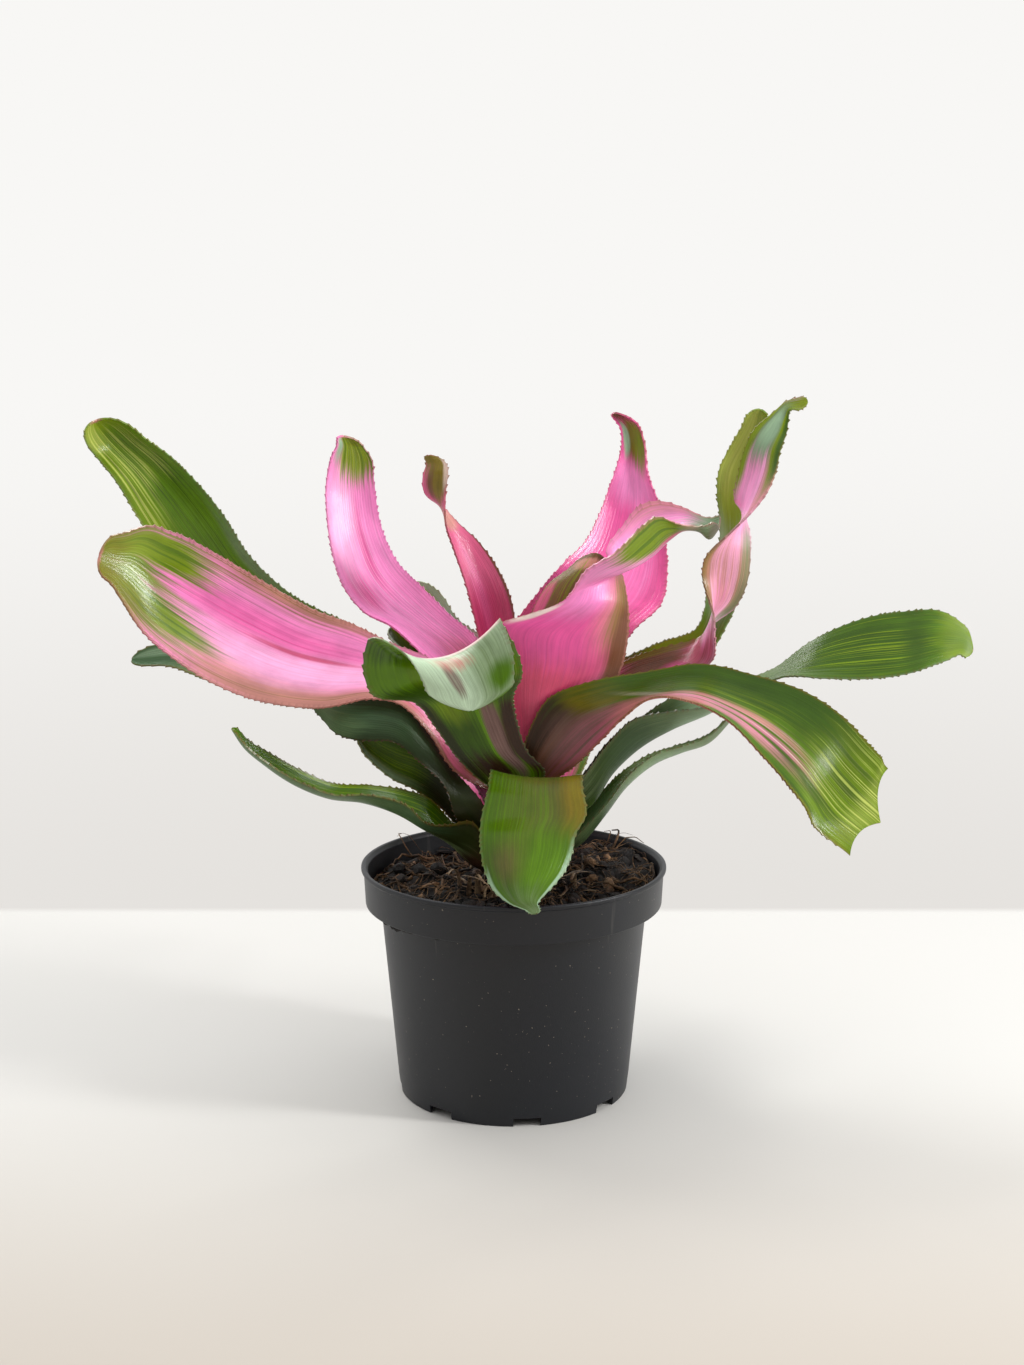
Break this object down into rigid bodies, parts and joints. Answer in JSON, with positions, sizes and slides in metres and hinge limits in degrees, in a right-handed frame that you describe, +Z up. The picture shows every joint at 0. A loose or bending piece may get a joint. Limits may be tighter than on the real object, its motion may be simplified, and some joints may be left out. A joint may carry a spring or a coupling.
{
  "type": "potted plant",
  "caption": "A bromeliad with broad toothed leaves in pink and green, arching and twisting out of a short stem, in a black plastic nursery pot filled with fibrous compost",
  "frame": {"origin": "middle of the pot's flat base pad, on the surface it stands on", "axes": "+Z up out of the pot, +X along the plant's widest spread, -Y towards the side with the drooping front leaf"},
  "size_m": [0.3882, 0.2009, 0.2972],
  "materials": {
    "pot_plastic": "satin charcoal black plastic with fine dust and scuffs",
    "compost": "dark peat and coir with brown root fibres",
    "stem": "matte fibrous green brown",
    "green_leaf": "waxy satin leaf, striped green, greyer underneath",
    "pink_leaf": "glossy waxy leaf, pink with green and olive tips and edges",
    "grey_green_leaf": "matte grey-green scaled underside",
    "olive_leaf": "satin brown olive leaf"
  },
  "bodies": {
    "root": {"pot": "pot_plastic", "soil": "compost", "stem": "stem", "leaf_front_drooping": "green_leaf", "leaf_front_folded": "grey_green_leaf", "leaf_centre_pink": "pink_leaf", "leaf_right_arching": "green_leaf", "leaf_left_broad_pink": "pink_leaf", "leaf_left_upper_green": "green_leaf", "leaf_left_behind_pink": "green_leaf", "leaf_upright_pink": "pink_leaf", "leaf_back_pale": "grey_green_leaf", "leaf_back_left_short": "green_leaf", "leaf_centre_twisted": "pink_leaf", "leaf_back_right_magenta": "pink_leaf", "leaf_inner_olive": "olive_leaf", "leaf_right_twisted_pink": "pink_leaf", "leaf_right_upright_green": "green_leaf", "leaf_left_dark": "green_leaf", "leaf_left_low_green": "green_leaf", "leaf_left_long_narrow": "green_leaf", "leaf_right_long_grey": "grey_green_leaf", "leaf_right_low_grey": "grey_green_leaf", "leaf_rear_long": "green_leaf", "leaf_rear_right": "green_leaf", "leaf_rear_left": "green_leaf"}
  },
  "joints": []
}
